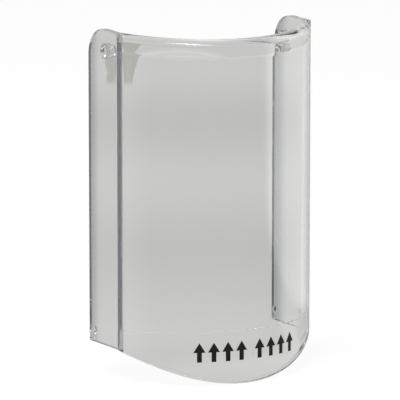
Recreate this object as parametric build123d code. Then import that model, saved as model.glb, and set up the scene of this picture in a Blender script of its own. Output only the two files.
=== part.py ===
from build123d import *
import math
import os

# Clear polycarbonate lift-up cover that hinges over a small wall-mounted box.
# Millimetres. +Z is up, the front bows out towards -Y, +X is the viewer's right.
# The origin is the middle of the closed cover's outline seen from above,
# level with the lowest point of the lift lip.

# Shell
cover_width = 87.2            # across the outer faces of the side panels
wall = 3.0                    # polycarbonate sheet, front and sides
side_height = 123.0           # side panel, foot to top front corner
side_depth = 22.7             # side panel, back edge to front edge
front_bow = 24.6              # how far the front curves out past the side panels
lip_drop = 13.2               # lift lip, below the foot of the side panels

# Rolled top rim of the front panel
rim_slope = 5.4               # degrees that the rim falls towards the front
rim_depth = 3.8               # measured square to the front
rim_height = 3.4              # of the full depth, before it slopes back to the sheet
rim_blend = 4.0               # height over which it slopes back
rim_round = 3.0
rim_small_round = 0.6
rim_blend_round = 6.0
rim_step = 0.1                # left square at the top of the slope

# Thicker lift lip at the foot of the front panel
lip_line_height = 7.6         # above the foot of the side panels
lip_extra = 0.8               # added on the inside
lip_edge_round = 0.6

# Outline of the side panels
ear_slope = 2.8               # degrees that their top edges fall towards the front
ear_radius = 10.9
foot_corner_round = 1.0
side_edge_round = 0.2

# Hinge pegs and the bushes that they turn in
hinge_from_back = 10.0
hinge_below_corner = 8.2      # below the top front corner
peg_diameter = 4.6
peg_length = 5.0
peg_tip_chamfer = 0.4
bush_running_clearance = 0.05
bush_wall = 0.7
bush_length = 2.6
bush_end_play = 0.3           # between a bush and its side panel
bush_chamfer = 0.2

# Catch pips near the foot of the side panels
pip_diameter = 3.2
pip_height = 0.8
pip_from_back = 2.4
pip_above_foot = 4.4

# Printed row of lift arrows, centred level with the foot of the side panels
arrow_count = 8
arrow_height = 7.6
arrow_width = 4.8
arrow_head_height = 3.8
arrow_shaft_width = 1.9
arrow_pitch = 6.45            # degrees round the front, from one arrow to the next
arrow_middle_gap = 2.9        # degrees more between the two halves of the row
arrow_row_turn = 1.8          # degrees that the row's middle lies to the right
ink_thickness = 0.1
ink_gap = 0.02                # between the curved ink film and the curved panel

# Places worked out from the sizes above
half_width = cover_width / 2
inner_half_width = half_width - wall
total_depth = side_depth + front_bow
front_y = -total_depth / 2
back_y = total_depth / 2
corner_y = back_y - side_depth
front_radius = (half_width**2 + front_bow**2) / (2 * front_bow)
bow_centre_y = front_y + front_radius
foot_z = lip_drop
corner_top_z = foot_z + side_height
tall = corner_top_z + side_depth
hinge_y = back_y - hinge_from_back
hinge_z = corner_top_z - hinge_below_corner


def sloping_z(slope, y):
    """Height at a distance y from the middle, on a slope through the corner."""
    return corner_top_z + math.tan(math.radians(slope)) * (y - corner_y)


def edge_at(shape, x, y, z):
    """The edge of a shape whose middle is nearest to a point."""
    return min(shape.edges(), key=lambda edge: ((edge @ 0.5) - Vector(x, y, z)).length)


def round_at(shape, radius, *places):
    """Round the edges of a shape whose middles lie at the given points."""
    return fillet([edge_at(shape, *place) for place in places], radius)


def under_slope(slope):
    """The space in front of the wall, up to a top that slopes as asked."""
    ahead_y = 2 * front_y
    outline = Polyline(
        (0, ahead_y, -rim_height),
        (0, back_y, -rim_height),
        (0, back_y, sloping_z(slope, back_y)),
        (0, ahead_y, sloping_z(slope, ahead_y)),
        close=True,
    )
    return extrude(make_face(outline), amount=cover_width, dir=(1, 0, 0), both=True)


def bow(radius, height):
    """A round column of the front's curve, standing on the origin's level."""
    return Pos(0, bow_centre_y, 0) * Cylinder(
        radius, height, align=(Align.CENTER, Align.CENTER, Align.MIN)
    )


def bowed_slab(thickness, height):
    """The curved front, glued over and between the side panels' front edges."""
    seat = (Align.CENTER, Align.MAX, Align.MIN)
    between = Pos(0, bow_centre_y, 0) * Box(2 * inner_half_width, 2 * front_radius, height, align=seat)
    ahead = Pos(0, corner_y, 0) * Box(2 * front_radius, 2 * front_radius, height, align=seat)
    return (bow(front_radius, height) - bow(front_radius - thickness, height)) & (between + ahead)


def over_lip_edge():
    """The space above the lip's bottom edge, an arc seen from the front."""
    arc_radius = (half_width**2 + lip_drop**2) / (2 * lip_drop)
    bowl = Pos(0, 0, arc_radius) * Rot(90, 0, 0) * Cylinder(arc_radius, 2 * total_depth)
    seat = (Align.CENTER, Align.CENTER, Align.MIN)
    above = Pos(0, 0, foot_z) * Box(2 * cover_width, 2 * total_depth, tall, align=seat)
    return bowl + above


def make_front_panel():
    """Curved front, with its rolled top rim and its thicker lift lip."""
    below_top = under_slope(rim_slope)
    sheet = bowed_slab(wall, tall)
    rim = bowed_slab(rim_depth, tall) - Pos(0, 0, -rim_height) * below_top
    lip = bowed_slab(wall + lip_extra, foot_z + lip_line_height)
    panel = (sheet + rim + lip) & below_top & over_lip_edge()

    rim_back_y = front_y + rim_depth
    sheet_back_y = front_y + wall
    panel = round_at(panel, rim_round, (0, front_y, sloping_z(rim_slope, front_y)))
    panel = round_at(panel, rim_small_round, (0, rim_back_y, sloping_z(rim_slope, rim_back_y)))
    ledge_z = sloping_z(rim_slope, sheet_back_y) - rim_height
    ledge = edge_at(panel, 0, sheet_back_y, ledge_z)
    curved = panel.faces().filter_by(GeomType.CYLINDER)
    inner_face = [face for face in curved if any(ledge.is_same(edge) for edge in face.edges())][0]
    panel = chamfer(ledge, rim_blend, rim_depth - wall - rim_step, reference=inner_face)
    panel = round_at(panel, rim_blend_round, (0, sheet_back_y, ledge_z - rim_blend))

    lip_back_y = front_y + wall + lip_extra
    panel = round_at(panel, lip_edge_round, (0, lip_back_y, foot_z + lip_line_height))
    return round_at(panel, lip_edge_round, (0, front_y, 0), (0, lip_back_y, 0))


def make_side_panel():
    """Right-hand flat side panel, with its rounded ear."""
    sheet = Pos(inner_half_width, corner_y, foot_z) * Box(
        wall, side_depth, tall, align=(Align.MIN, Align.MIN, Align.MIN)
    )
    panel = sheet & under_slope(ear_slope)
    middle_x = half_width - wall / 2
    panel = round_at(panel, ear_radius, (middle_x, back_y, sloping_z(ear_slope, back_y)))
    panel = round_at(panel, foot_corner_round, (middle_x, back_y, foot_z))
    free_edges = [
        edge
        for edge in panel.edges()
        if abs(edge.center().X - middle_x) > wall / 2 - 0.01 and edge.center().Y > corner_y + wall
    ]
    return fillet(free_edges, side_edge_round)


def turned_inwards(x):
    """The place on the hinge axis where a piece starts, pointing to the middle."""
    return Location((x, hinge_y, hinge_z), (0, -90, 0))


def make_hinge_peg():
    """Right-hand peg, bonded to the inside of the ear."""
    peg = Cylinder(peg_diameter / 2, peg_length, align=(Align.CENTER, Align.CENTER, Align.MIN))
    peg = chamfer(peg.edges().sort_by(Axis.Z)[-1], peg_tip_chamfer)
    return turned_inwards(inner_half_width) * peg


def make_pivot_bush():
    """Right-hand sleeve, fixed in the box's side, that the peg turns in."""
    bore_radius = peg_diameter / 2 + bush_running_clearance
    seat = (Align.CENTER, Align.CENTER, Align.MIN)
    sleeve = Cylinder(bore_radius + bush_wall, bush_length, align=seat)
    outer_rims = sleeve.edges().filter_by(GeomType.CIRCLE)
    sleeve = chamfer(outer_rims, bush_chamfer) - Cylinder(bore_radius, bush_length, align=seat)
    return turned_inwards(inner_half_width - bush_end_play) * sleeve


def make_catch_pip():
    """Right-hand shallow dome that clicks the closed cover onto its box."""
    ball_radius = ((pip_diameter / 2) ** 2 + pip_height**2) / (2 * pip_height)
    ball = Pos(ball_radius - pip_height, 0, 0) * Sphere(ball_radius)
    dome = split(ball, bisect_by=Plane.YZ, keep=Keep.BOTTOM)
    return Pos(inner_half_width, back_y - pip_from_back, foot_z + pip_above_foot) * dome


def make_lift_arrows():
    """A row of upward arrows, printed on the front of the lift lip."""
    neck = arrow_height / 2 - arrow_head_height
    half_outline = [
        (arrow_width / 2, neck),
        (arrow_shaft_width / 2, neck),
        (arrow_shaft_width / 2, -arrow_height / 2),
    ]
    mirrored = [(-x, y) for x, y in reversed(half_outline)]
    outline = Polyline((0, arrow_height / 2), *half_outline, *mirrored, close=True)
    inside = front_radius + ink_gap
    film = bow(inside + ink_thickness, tall) - bow(inside, tall)

    arrows = []
    for number in range(arrow_count):
        from_middle = number - (arrow_count - 1) / 2
        turn = arrow_row_turn + arrow_pitch * from_middle
        turn += math.copysign(arrow_middle_gap / 2, from_middle)
        outward = Vector(0, -1, 0).rotate(Axis.Z, turn)
        sideways = Vector(1, 0, 0).rotate(Axis.Z, turn)
        plane = Plane(origin=(0, bow_centre_y, foot_z), x_dir=sideways, z_dir=outward)
        arrows += (extrude(plane * make_face(outline), amount=tall) & film).solids()
    return Compound(arrows)


def on_the_left(piece):
    """The left-hand twin of a right-hand piece."""
    return mirror(piece, about=Plane.YZ)


side_panel = make_side_panel()
hinge_peg = make_hinge_peg()
pivot_bush = make_pivot_bush()
catch_pip = make_catch_pip()

pieces = {
    "front_panel": make_front_panel(),
    "right_side_panel": side_panel,
    "left_side_panel": on_the_left(side_panel),
    "right_hinge_peg": hinge_peg,
    "left_hinge_peg": on_the_left(hinge_peg),
    "right_pivot_bush": pivot_bush,
    "left_pivot_bush": on_the_left(pivot_bush),
    "right_catch_pip": catch_pip,
    "left_catch_pip": on_the_left(catch_pip),
    "printed_lift_arrows": make_lift_arrows(),
}

os.makedirs("parts", exist_ok=True)
for name, piece in pieces.items():
    export_step(piece, f"parts/{name}.step")
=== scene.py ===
import math

import bmesh
import bpy
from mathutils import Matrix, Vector

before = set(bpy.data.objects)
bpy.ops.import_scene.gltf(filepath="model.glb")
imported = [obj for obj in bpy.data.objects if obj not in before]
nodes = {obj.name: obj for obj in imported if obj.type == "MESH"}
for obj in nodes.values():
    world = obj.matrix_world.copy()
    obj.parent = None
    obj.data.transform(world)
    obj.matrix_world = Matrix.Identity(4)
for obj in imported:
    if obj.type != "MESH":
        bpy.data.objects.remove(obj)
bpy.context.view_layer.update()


# Camera
# A long lens to the left of the front and a little above it, as in the photo.
camera_data = bpy.data.cameras.new("camera")
camera_data.sensor_width = 36
camera_data.lens = 358.61
camera = bpy.data.objects.new("camera", camera_data)
camera.location = (-0.77928, -1.31707, 0.32695)
looking = Vector((0.49858, 0.85069, -0.16659))
camera.rotation_mode = "QUATERNION"
camera.rotation_quaternion = looking.to_track_quat("-Z", "Y")
bpy.context.scene.collection.objects.link(camera)
bpy.context.scene.camera = camera
bpy.context.scene.view_settings.view_transform = "Standard"


# Front panel
# One sheet of clear polycarbonate, hot bent to a bow, with its top edge rolled over and a
# thicker lift lip. It is solvent bonded over the side panels' front edges. The bond and the
# sanded edges of the rim and the lip are a little hazy.
inner_half_width = 0.0406
corner_y = 0.00095
bow_centre_y = 0.027287
inner_radius = 0.047937
foot_z = 0.0132
corner_top_z = 0.1362
lip_line_z = 0.0208
lip_extra = 0.0008
lip_arc_radius = 0.0786
rim_line_z = 0.1328
rim_slope = math.tan(math.radians(5.4))
near = 0.00001
bond_inset = 0.00004
bond_haze = 0.5
bond_white = (0.85, 0.85, 0.88, 1)
rim_haze = 0.35
rim_edge_band = (0.0012, 0.0004)
rim_back_band = (0.0504, 0.0490)
left_rim_band = (-0.034, -0.016)
left_rim_share = 0.3
lip_edge_band = (0.0008, 0.0002)
lip_edge_share = 0.6
thumbed_band = (0.02, 0.008)
front_grey = (0.960, 0.970, 0.962)
front_clear = (0.988, 0.993, 0.988)
tones_per_metre = 18.0
ripples_per_metre = 45.0
scuffs_per_metre = 60.0
dust_per_metre = 55.0
thumb_marks_per_metre = 160.0
dust_roughness = 0.012
scuff_roughness = 0.03
thumb_roughness = 0.02
scuff_depth = 0.15
relief_depth = 0.00002


class Value:
    """A socket of a node tree, with arithmetic that adds Math nodes."""

    def __init__(self, paint, socket):
        self.paint = paint
        self.socket = socket

    def math(self, operation, *others):
        return self.paint.node("ShaderNodeMath", {"operation": operation}, self, *others)[0]

    def __add__(self, other):
        return self.math("ADD", other)

    __radd__ = __add__

    def __sub__(self, other):
        return self.math("SUBTRACT", other)

    def __rsub__(self, other):
        return self.paint.node("ShaderNodeMath", {"operation": "SUBTRACT"}, other, self)[0]

    def __mul__(self, other):
        return self.math("MULTIPLY", other)

    __rmul__ = __mul__

    def __truediv__(self, other):
        return self.math("DIVIDE", other)

    def __lt__(self, other):
        return self.math("LESS_THAN", other)

    def __gt__(self, other):
        return self.math("GREATER_THAN", other)

    def __or__(self, other):
        return self.math("MAXIMUM", other)

    def __abs__(self):
        return self.math("ABSOLUTE")


class Paint:
    """The node tree of one material or of the world."""

    def __init__(self, owner):
        owner.use_nodes = True
        self.tree = owner.node_tree
        self.tree.nodes.clear()

    def node(self, kind, settings=None, *values, **named):
        made = self.tree.nodes.new(kind)
        for name, setting in (settings or {}).items():
            setattr(made, name, setting)
        wanted = list(zip([socket for socket in made.inputs if socket.enabled], values))
        wanted += [(made.inputs[name.replace("_", " ")], value) for name, value in named.items()]
        for socket, value in wanted:
            if isinstance(value, Value):
                self.tree.links.new(value.socket, socket)
            elif value is not None:
                socket.default_value = value
        return [Value(self, socket) for socket in made.outputs if socket.enabled]

    def place(self):
        outputs = self.node("ShaderNodeTexCoord")
        return [out for out in outputs if out.socket.name == "Object"][0]

    def split(self, vector):
        return self.node("ShaderNodeSeparateXYZ", None, vector)

    def stretched(self, place, *scale):
        settings = {"operation": "MULTIPLY"}
        return self.node("ShaderNodeVectorMath", settings, place, scale)[0]

    def noise(self, place, per_metre, detail=2.0):
        return self.node("ShaderNodeTexNoise", None, place, Scale=per_metre, Detail=detail)[0]

    def ramp(self, value, start, end):
        """From 0 at start to 1 at end, softly."""
        soft = {"interpolation_type": "SMOOTHSTEP"}
        return self.node("ShaderNodeMapRange", soft, value, start, end, 0.0, 1.0)[0]

    def blend(self, factor, colour_a, colour_b):
        settings = {"data_type": "RGBA"}
        return self.node("ShaderNodeMix", settings, factor, (*colour_a, 1), (*colour_b, 1))[0]


def between(share, low, high):
    """From low to high, as share goes from 0 to 1."""
    return share * (high - low) + low


def distance(across, up):
    """How far a place is from an axis, from its offsets in two directions."""
    return (across * across + up * up).math("SQRT")


def clear_plastic(name, piece_finish):
    """Clear plastic whose surface vanishes where two pieces are bonded.

    piece_finish gives where the bonds are, how hazy they are, the colour,
    the roughness and the relief, from the paint and the place.
    """
    material = bpy.data.materials.new(name)
    paint = Paint(material)
    bonded, haze, colour, roughness, relief = piece_finish(paint, paint.place())
    normal = paint.node("ShaderNodeBump", None, Strength=0.5, Distance=relief_depth, Height=relief)[0]
    clear = paint.node(
        "ShaderNodeBsdfPrincipled",
        None,
        Base_Color=colour,
        Roughness=roughness,
        IOR=1.585,
        Transmission_Weight=1.0,
        Normal=normal,
    )[0]
    bond = paint.node(
        "ShaderNodeBsdfPrincipled",
        None,
        Base_Color=bond_white,
        Roughness=0.7,
        IOR=1.0,
        Alpha=haze,
    )[0]
    surface = paint.node("ShaderNodeMixShader", None, bonded, clear, bond)[0]
    paint.node("ShaderNodeOutputMaterial", None, surface)
    return material


def on_side_face(x):
    """On the inner face of either side panel."""
    return abs(abs(x) - inner_half_width) < near


def front_bond(x, y, z):
    """Where the front panel and the side panels touch, and the part on their edges."""
    on_edge = (abs(y - corner_y) < near) * (abs(x) > inner_half_width - near)
    thicker = (z < lip_line_z) | (z > rim_line_z)
    bond_radius = inner_radius + bond_inset - thicker * lip_extra
    on_front = on_side_face(x) * (distance(x, y - bow_centre_y) > bond_radius)
    return (on_edge | on_front) * (z > foot_z + near) * (z < corner_top_z), on_edge


def sheet_surface(paint, place):
    """Slow ripples of the rolled sheet, fine dust and hairline scuffs."""
    ripples = paint.noise(paint.stretched(place, 1.0, 1.0, 3.0), ripples_per_metre)
    scuffs = paint.noise(paint.stretched(place, 40.0, 40.0, 3.0), scuffs_per_metre, 4.0)
    hairlines = paint.ramp(scuffs, 0.66, 0.74)
    dust = paint.ramp(paint.noise(place, dust_per_metre, 3.0), 0.4, 0.8)
    roughness = dust * dust_roughness + hairlines * scuff_roughness
    return roughness, ripples - hairlines * scuff_depth


def front_finish(paint, place):
    """Clear with a faint grey tone, sanded along two edges and thumbed on the lip."""
    x, y, z = paint.split(place)
    bonded, on_edge = front_bond(x, y, z)
    radius = distance(x, y - bow_centre_y)
    below_top = (y - corner_y) * rim_slope + corner_top_z - z
    rim_edge = paint.ramp(below_top, *rim_edge_band) * paint.ramp(radius, *rim_back_band)
    rim_edge = rim_edge * between(paint.ramp(x, *left_rim_band), left_rim_share, 1.0)
    above_lip_edge = z - lip_arc_radius + (lip_arc_radius**2 - x * x).math("SQRT")
    lip_edge = paint.ramp(above_lip_edge, *lip_edge_band) * lip_edge_share
    sanded = (rim_edge | lip_edge) * (1 - bonded)
    haze = on_edge * bond_haze | sanded

    colour = paint.blend(paint.noise(place, tones_per_metre), front_grey, front_clear)
    roughness, relief = sheet_surface(paint, place)
    thumb_marks = paint.ramp(paint.noise(place, thumb_marks_per_metre, 4.0), 0.45, 0.7)
    roughness = roughness + paint.ramp(z, *thumbed_band) * thumb_marks * thumb_roughness
    return bonded | sanded * rim_haze, haze, colour, roughness, relief


nodes["front_panel"].data.materials[0] = clear_plastic("front sheet", front_finish)


# Side panels
# Flat clear polycarbonate, cut to outline. The back edge is polished, and beside it painted
# shade greys the plastic's colour, in a narrower and fainter band on the left. The edges
# of the ears and the feet are only sanded.
back_y = 0.02365
half_width = 0.0436
peg_y = 0.01365
peg_z = 0.128
peg_radius = 0.0023
pip_y = 0.02125
pip_z = 0.0176
pip_radius = 0.0016
bond_margin = 0.00002
side_edge_haze = 0.25
sanded_ear_height = 0.006
sanded_foot_height = 0.001
side_clear = (0.965, 0.973, 0.970)
painted_shade_grey = (0.60, 0.61, 0.63)
left_shade_width = 0.0075
right_shade_width = 0.0110
darkest_width = 0.0025
left_shade_share = 0.75
sawn_band = (0.0003, 0.0)
saw_marks_per_metre = 900.0
saw_roughness = 0.04


def side_finish(paint, place):
    """Clear, with painted shade along the back edge, hazy on the ears' and the feet's edges."""
    x, y, z = paint.split(place)
    bonded, on_edge = front_bond(x, y, z)
    under_peg = distance(y - peg_y, z - peg_z) < peg_radius - bond_margin
    under_pip = distance(y - pip_y, z - pip_z) < pip_radius - bond_margin
    glued = bonded | on_side_face(x) * (under_peg | under_pip)

    cut_face = (abs(x) > inner_half_width + near) * (abs(x) < half_width - near)
    ear = paint.ramp(z, corner_top_z - sanded_ear_height, corner_top_z)
    foot = paint.ramp(z, foot_z + sanded_foot_height, foot_z)
    sanded = cut_face * (1 - bonded) * (ear | foot)
    haze = on_edge * bond_haze | sanded

    # Painted shade: the colour greys towards the back edge, darkest in its last 2.5 mm.
    from_back = back_y - y
    on_right = x > 0
    shade_width = between(on_right, left_shade_width, right_shade_width)
    painted_shade = paint.ramp(from_back, shade_width, darkest_width)
    painted_shade = painted_shade * between(on_right, left_shade_share, 1.0)
    colour = paint.blend(painted_shade, side_clear, painted_shade_grey)

    roughness, relief = sheet_surface(paint, place)
    saw_marks = paint.noise(paint.stretched(place, 1, 1, 8), saw_marks_per_metre)
    roughness = roughness + paint.ramp(from_back, *sawn_band) * saw_marks * saw_roughness
    return glued | sanded * side_edge_haze, haze, colour, roughness, relief


side_sheet = clear_plastic("side sheet", side_finish)
nodes["left_side_panel"].data.materials[0] = side_sheet
nodes["right_side_panel"].data.materials[0] = side_sheet


# Hinge pegs
# Short lengths of clear rod, turned to a chamfer at the free end and solvent
# bonded inside the ears. The cut ends keep fine rings from the tool.
rod_grey = (0.93, 0.95, 0.95)
rod_clear = (0.98, 0.99, 0.99)
rod_tones_per_metre = 300.0
tool_marks_per_metre = 900.0
ring_radians_per_metre = 22000.0
ring_depth = 0.5


def peg_finish(paint, place):
    """Clear rod with fine turned rings."""
    x, y, z = paint.split(place)
    rings = (distance(y - peg_y, z - peg_z) * ring_radians_per_metre).math("SINE")
    colour = paint.blend(paint.noise(place, rod_tones_per_metre), rod_grey, rod_clear)
    roughness = between(paint.noise(place, tool_marks_per_metre), 0.03, 0.09)
    return on_side_face(x), 0.0, colour, roughness, rings * ring_depth


peg_rod = clear_plastic("clear rod", peg_finish)
nodes["left_hinge_peg"].data.materials[0] = peg_rod
nodes["right_hinge_peg"].data.materials[0] = peg_rod


# Pivot bushes
# Moulded clear polycarbonate sleeves that stay in the box, one round each peg,
# with the fine satin surface of their mould.
sleeve_grey = (0.92, 0.93, 0.92)
sleeve_clear = (0.97, 0.97, 0.96)
sleeve_tones_per_metre = 400.0
mould_grain_per_metre = 4000.0


def bush_finish(paint, place):
    """Satin all over, bonded to nothing."""
    colour = paint.blend(paint.noise(place, sleeve_tones_per_metre), sleeve_grey, sleeve_clear)
    grain = paint.noise(place, mould_grain_per_metre, 3.0)
    return 0.0, 0.0, colour, between(grain, 0.10, 0.18), grain


satin_sleeve = clear_plastic("satin sleeve", bush_finish)
nodes["left_pivot_bush"].data.materials[0] = satin_sleeve
nodes["right_pivot_bush"].data.materials[0] = satin_sleeve


# Catch pips
# Shallow clear domes inside the sides' lower back corners, set in a drop of
# solvent, rubbed dull at the crown where they click over the box.
rubbed_from = 0.0005
rubbed_to = 0.0008
dome_tones_per_metre = 500.0
dome_grain_per_metre = 1500.0


def pip_finish(paint, place):
    """Clear, and duller towards the crown."""
    x, y, z = paint.split(place)
    crown = paint.ramp(abs(x), inner_half_width - rubbed_from, inner_half_width - rubbed_to)
    colour = paint.blend(paint.noise(place, dome_tones_per_metre), rod_grey, rod_clear)
    grain = paint.noise(place, dome_grain_per_metre)
    return on_side_face(x), 0.0, colour, between(crown, 0.01, 0.21), grain


clear_dome = clear_plastic("clear dome", pip_finish)
nodes["left_catch_pip"].data.materials[0] = clear_dome
nodes["right_catch_pip"].data.materials[0] = clear_dome


# Printed lift arrows
# Black screen ink on the outside of the lift lip, a tenth of a millimetre
# thick, with the faint weave of the screen and a slightly uneven sheen.
ink_black = (0.004, 0.004, 0.004)
ink_soft_black = (0.014, 0.014, 0.015)
ink_clouds_per_metre = 500.0
weave_radians_per_metre = 14000.0

ink = bpy.data.materials.new("black ink")
paint = Paint(ink)
place = paint.place()
x, y, z = paint.split(place)
weave = (x * weave_radians_per_metre).math("SINE") * (z * weave_radians_per_metre).math("SINE")
cloudy = paint.noise(place, ink_clouds_per_metre, 4.0)
film = paint.node(
    "ShaderNodeBsdfPrincipled",
    None,
    Base_Color=paint.blend(cloudy, ink_black, ink_soft_black),
    Roughness=between(cloudy, 0.45, 0.70),
    IOR=1.3,
    Normal=paint.node("ShaderNodeBump", None, Strength=0.3, Distance=relief_depth, Height=weave)[0],
)[0]
paint.node("ShaderNodeOutputMaterial", None, film)
nodes["printed_lift_arrows"].data.materials[0] = ink


# Studio
# A pale sweep of paper in a dark room with a bright wall on the right. The camera sees the
# paper white, and the plastic shows its real pale grey, with soft bars of light and shade
# and a darker card far back on the left.
paper_size = 4.0
paper_grey = 0.61
paper_tint = (1.0, 1.0, 0.985)
away_x = 0.506
away_y = 0.863
brightest_bar = 0.46
bar_spacing = 0.43
bar_light = 0.035
near_band = (0.30, 0.18)
near_light = 0.025
far_band = (0.98, 1.10)
far_light = 0.07
behind_lip_band = (0.09, 0.02)
behind_lip_shade = 0.045
under_lip_band = (0.03, -0.01)
under_lip_shade = 0.035
card_tint = (1.0, 1.0, 0.75)
card_darkness = 0.29
card_left_band = (-0.0315, -0.0300)
card_foot_right_edge = -0.0240
card_top_right_edge = -0.0128
card_edge_blur = 0.001
card_foot_band = (0.805, 0.84)
card_low_rise_band = (0.82, 1.0)
card_low_rise = 0.6
card_high_rise_band = (1.1, 1.5)
card_high_rise = 0.35
card_horizon_rise = 0.9
ear_view_start = (0.96, 0.98)
ear_view_end = (1.15, 1.12)
card_seen_from_along = -0.02
card_seen_from_across = -0.0345
painted_light_under_object = 0.85


def along_and_across(x, y):
    """A place or a heading, away from the camera and to the camera's right."""
    return x * away_x + y * away_y, x * away_y - y * away_x


def ray_kinds(paint):
    """Whether a ray comes straight from the camera, and whether it was mirrored."""
    path = {out.socket.name: out for out in paint.node("ShaderNodeLightPath")}
    return path["Is Camera Ray"], path["Glossy Depth"] > 0.5


def room_light(paint, heading_x, heading_y, reach):
    """What a reflection meets: a dark room in front, a bright wall on the right."""
    front = paint.ramp(heading_y, -0.1, -0.6)
    dim = between(front, 0.48, 0.12)
    bright = 1.0 - heading_y * 0.55
    right_wall = paint.ramp(heading_x + heading_y * 0.2 + 0.1, 0.70, 0.85)
    return between(right_wall * reach, dim, bright)


def paper_tone(paint, along):
    """The paper's tone through the plastic, from close by to far away."""
    bars = ((along - brightest_bar) * (2 * math.pi / bar_spacing)).math("COSINE")
    tone = paper_grey + bars * bar_light
    tone = tone + paint.ramp(along, *near_band) * near_light
    tone = tone + paint.ramp(along, *far_band) * far_light
    tone = tone - paint.ramp(along, *behind_lip_band) * behind_lip_shade
    return tone - paint.ramp(along, *under_lip_band) * under_lip_shade


def card_shade(paint, sideways, rising):
    """How dark the card is in a heading. It is narrower at its foot."""
    right_edge = between(rising, card_foot_right_edge, card_top_right_edge)
    inside = paint.ramp(sideways, right_edge, right_edge - card_edge_blur)
    return inside * paint.ramp(sideways, *card_left_band) * card_darkness


floor_mesh = bpy.data.meshes.new("floor")
shape = bmesh.new()
bmesh.ops.create_grid(shape, x_segments=1, y_segments=1, size=paper_size)
shape.to_mesh(floor_mesh)
shape.free()
floor = bpy.data.objects.new("floor", floor_mesh)
bpy.context.scene.collection.objects.link(floor)
paper = bpy.data.materials.new("pale paper")
floor_mesh.materials.append(paper)

# The card shows on the paper from its foot on, and not where only the left ear looks.
paint = Paint(paper)
place = paint.place()
x, y, z = paint.split(place)
along, across = along_and_across(x, y)
sideways = (across - card_seen_from_across) / (along - card_seen_from_along)
rising = paint.ramp(along, *card_low_rise_band) * card_low_rise
rising = rising + paint.ramp(along, *card_high_rise_band) * card_high_rise
card = card_shade(paint, sideways, rising) * paint.ramp(along, *card_foot_band)
card = card * (1 - paint.ramp(along, *ear_view_start) * paint.ramp(along, *ear_view_end))
through_level = paper_tone(paint, along) * (1 - card)

# Mirrored rays see painted light on the paper: pools lit by the wall on the right, and a pale patch
# close under the object.
from_middle = paint.node("ShaderNodeVectorMath", {"operation": "LENGTH"}, place)[0]
lit_by_wall = paint.ramp(x + y * 0.63, 0.12, 0.20)
half_lit = paint.ramp(x + y * 1.5, 0.02, 0.05) * 0.3
room = room_light(paint, x / from_middle, y / from_middle, lit_by_wall | half_lit)
mirrored_level = between(paint.ramp(from_middle, 0.09, 0.05), room, painted_light_under_object)

from_camera, mirrored = ray_kinds(paint)
level = between(mirrored, through_level, mirrored_level)
glow = paint.node("ShaderNodeEmission", None, paint.blend(card, paper_tint, card_tint), level)[0]
matt = paint.node("ShaderNodeBsdfDiffuse", None, (0.97, 0.97, 0.97, 1))[0]
white = paint.node("ShaderNodeEmission", None, (1, 1, 1, 1), 1.0)[0]
shaded = paint.node("ShaderNodeMixShader", None, 0.1, white, matt)[0]
surface = paint.node("ShaderNodeMixShader", None, from_camera, glow, shaded)[0]
paint.node("ShaderNodeOutputMaterial", None, surface)

# The world is the rest of the room, with a bright strip high in front that the
# rolled rim mirrors, and the card's upper part.
overhead_level = 0.62
strip_level = 9.0
strip_back_end = Vector((-0.33, -0.42, 0.845)).normalized()
strip_front_end = Vector((-0.12, -0.80, 0.59)).normalized()

world = bpy.data.worlds.new("studio")
bpy.context.scene.world = world
sky = Paint(world)
heading = sky.node("ShaderNodeTexCoord")[0]
x, y, z = sky.split(heading)
strip_side = strip_back_end.cross(strip_front_end).normalized()
off_strip = abs(x * strip_side.x + y * strip_side.y + z * strip_side.z)
strip = sky.ramp(off_strip, 0.20, 0.12) * sky.ramp(z, 0.52, 0.60) * sky.ramp(z, 0.88, 0.80)
strip = strip * (y < 0) * sky.ramp(x, -0.45, -0.38)
room = between(sky.ramp(z, 0.1, 0.5), room_light(sky, x, y, 1.0), overhead_level)
mirrored_level = room + strip * strip_level

along, across = along_and_across(x, y)
card = card_shade(sky, across / along, card_horizon_rise) * (z < 0.01) * (y > 0)
through_level = paper_grey * (1 - card)

from_camera, mirrored = ray_kinds(sky)
level = between(mirrored, through_level, mirrored_level)
lit = sky.node("ShaderNodeBackground", None, sky.blend(card, paper_tint, card_tint), level)[0]
white = sky.node("ShaderNodeBackground", None, (1, 1, 1, 1), 1.0)[0]
seen = sky.node("ShaderNodeMixShader", None, from_camera, lit, white)[0]
sky.node("ShaderNodeOutputWorld", None, seen)

# One large soft lamp, high on the left, gives the floor its shadow. Its own
# image is kept out of the plastic's reflections.
lamp_data = bpy.data.lights.new("soft lamp", "AREA")
lamp_data.shape = "DISK"
lamp_data.size = 1.2
lamp_data.energy = 24.0
lamp = bpy.data.objects.new("soft lamp", lamp_data)
lamp.location = (-0.7, -0.5, 1.5)
lamp.visible_glossy = False
lamp.rotation_mode = "QUATERNION"
lamp.rotation_quaternion = (-lamp.location).to_track_quat("-Z", "Y")
bpy.context.scene.collection.objects.link(lamp)
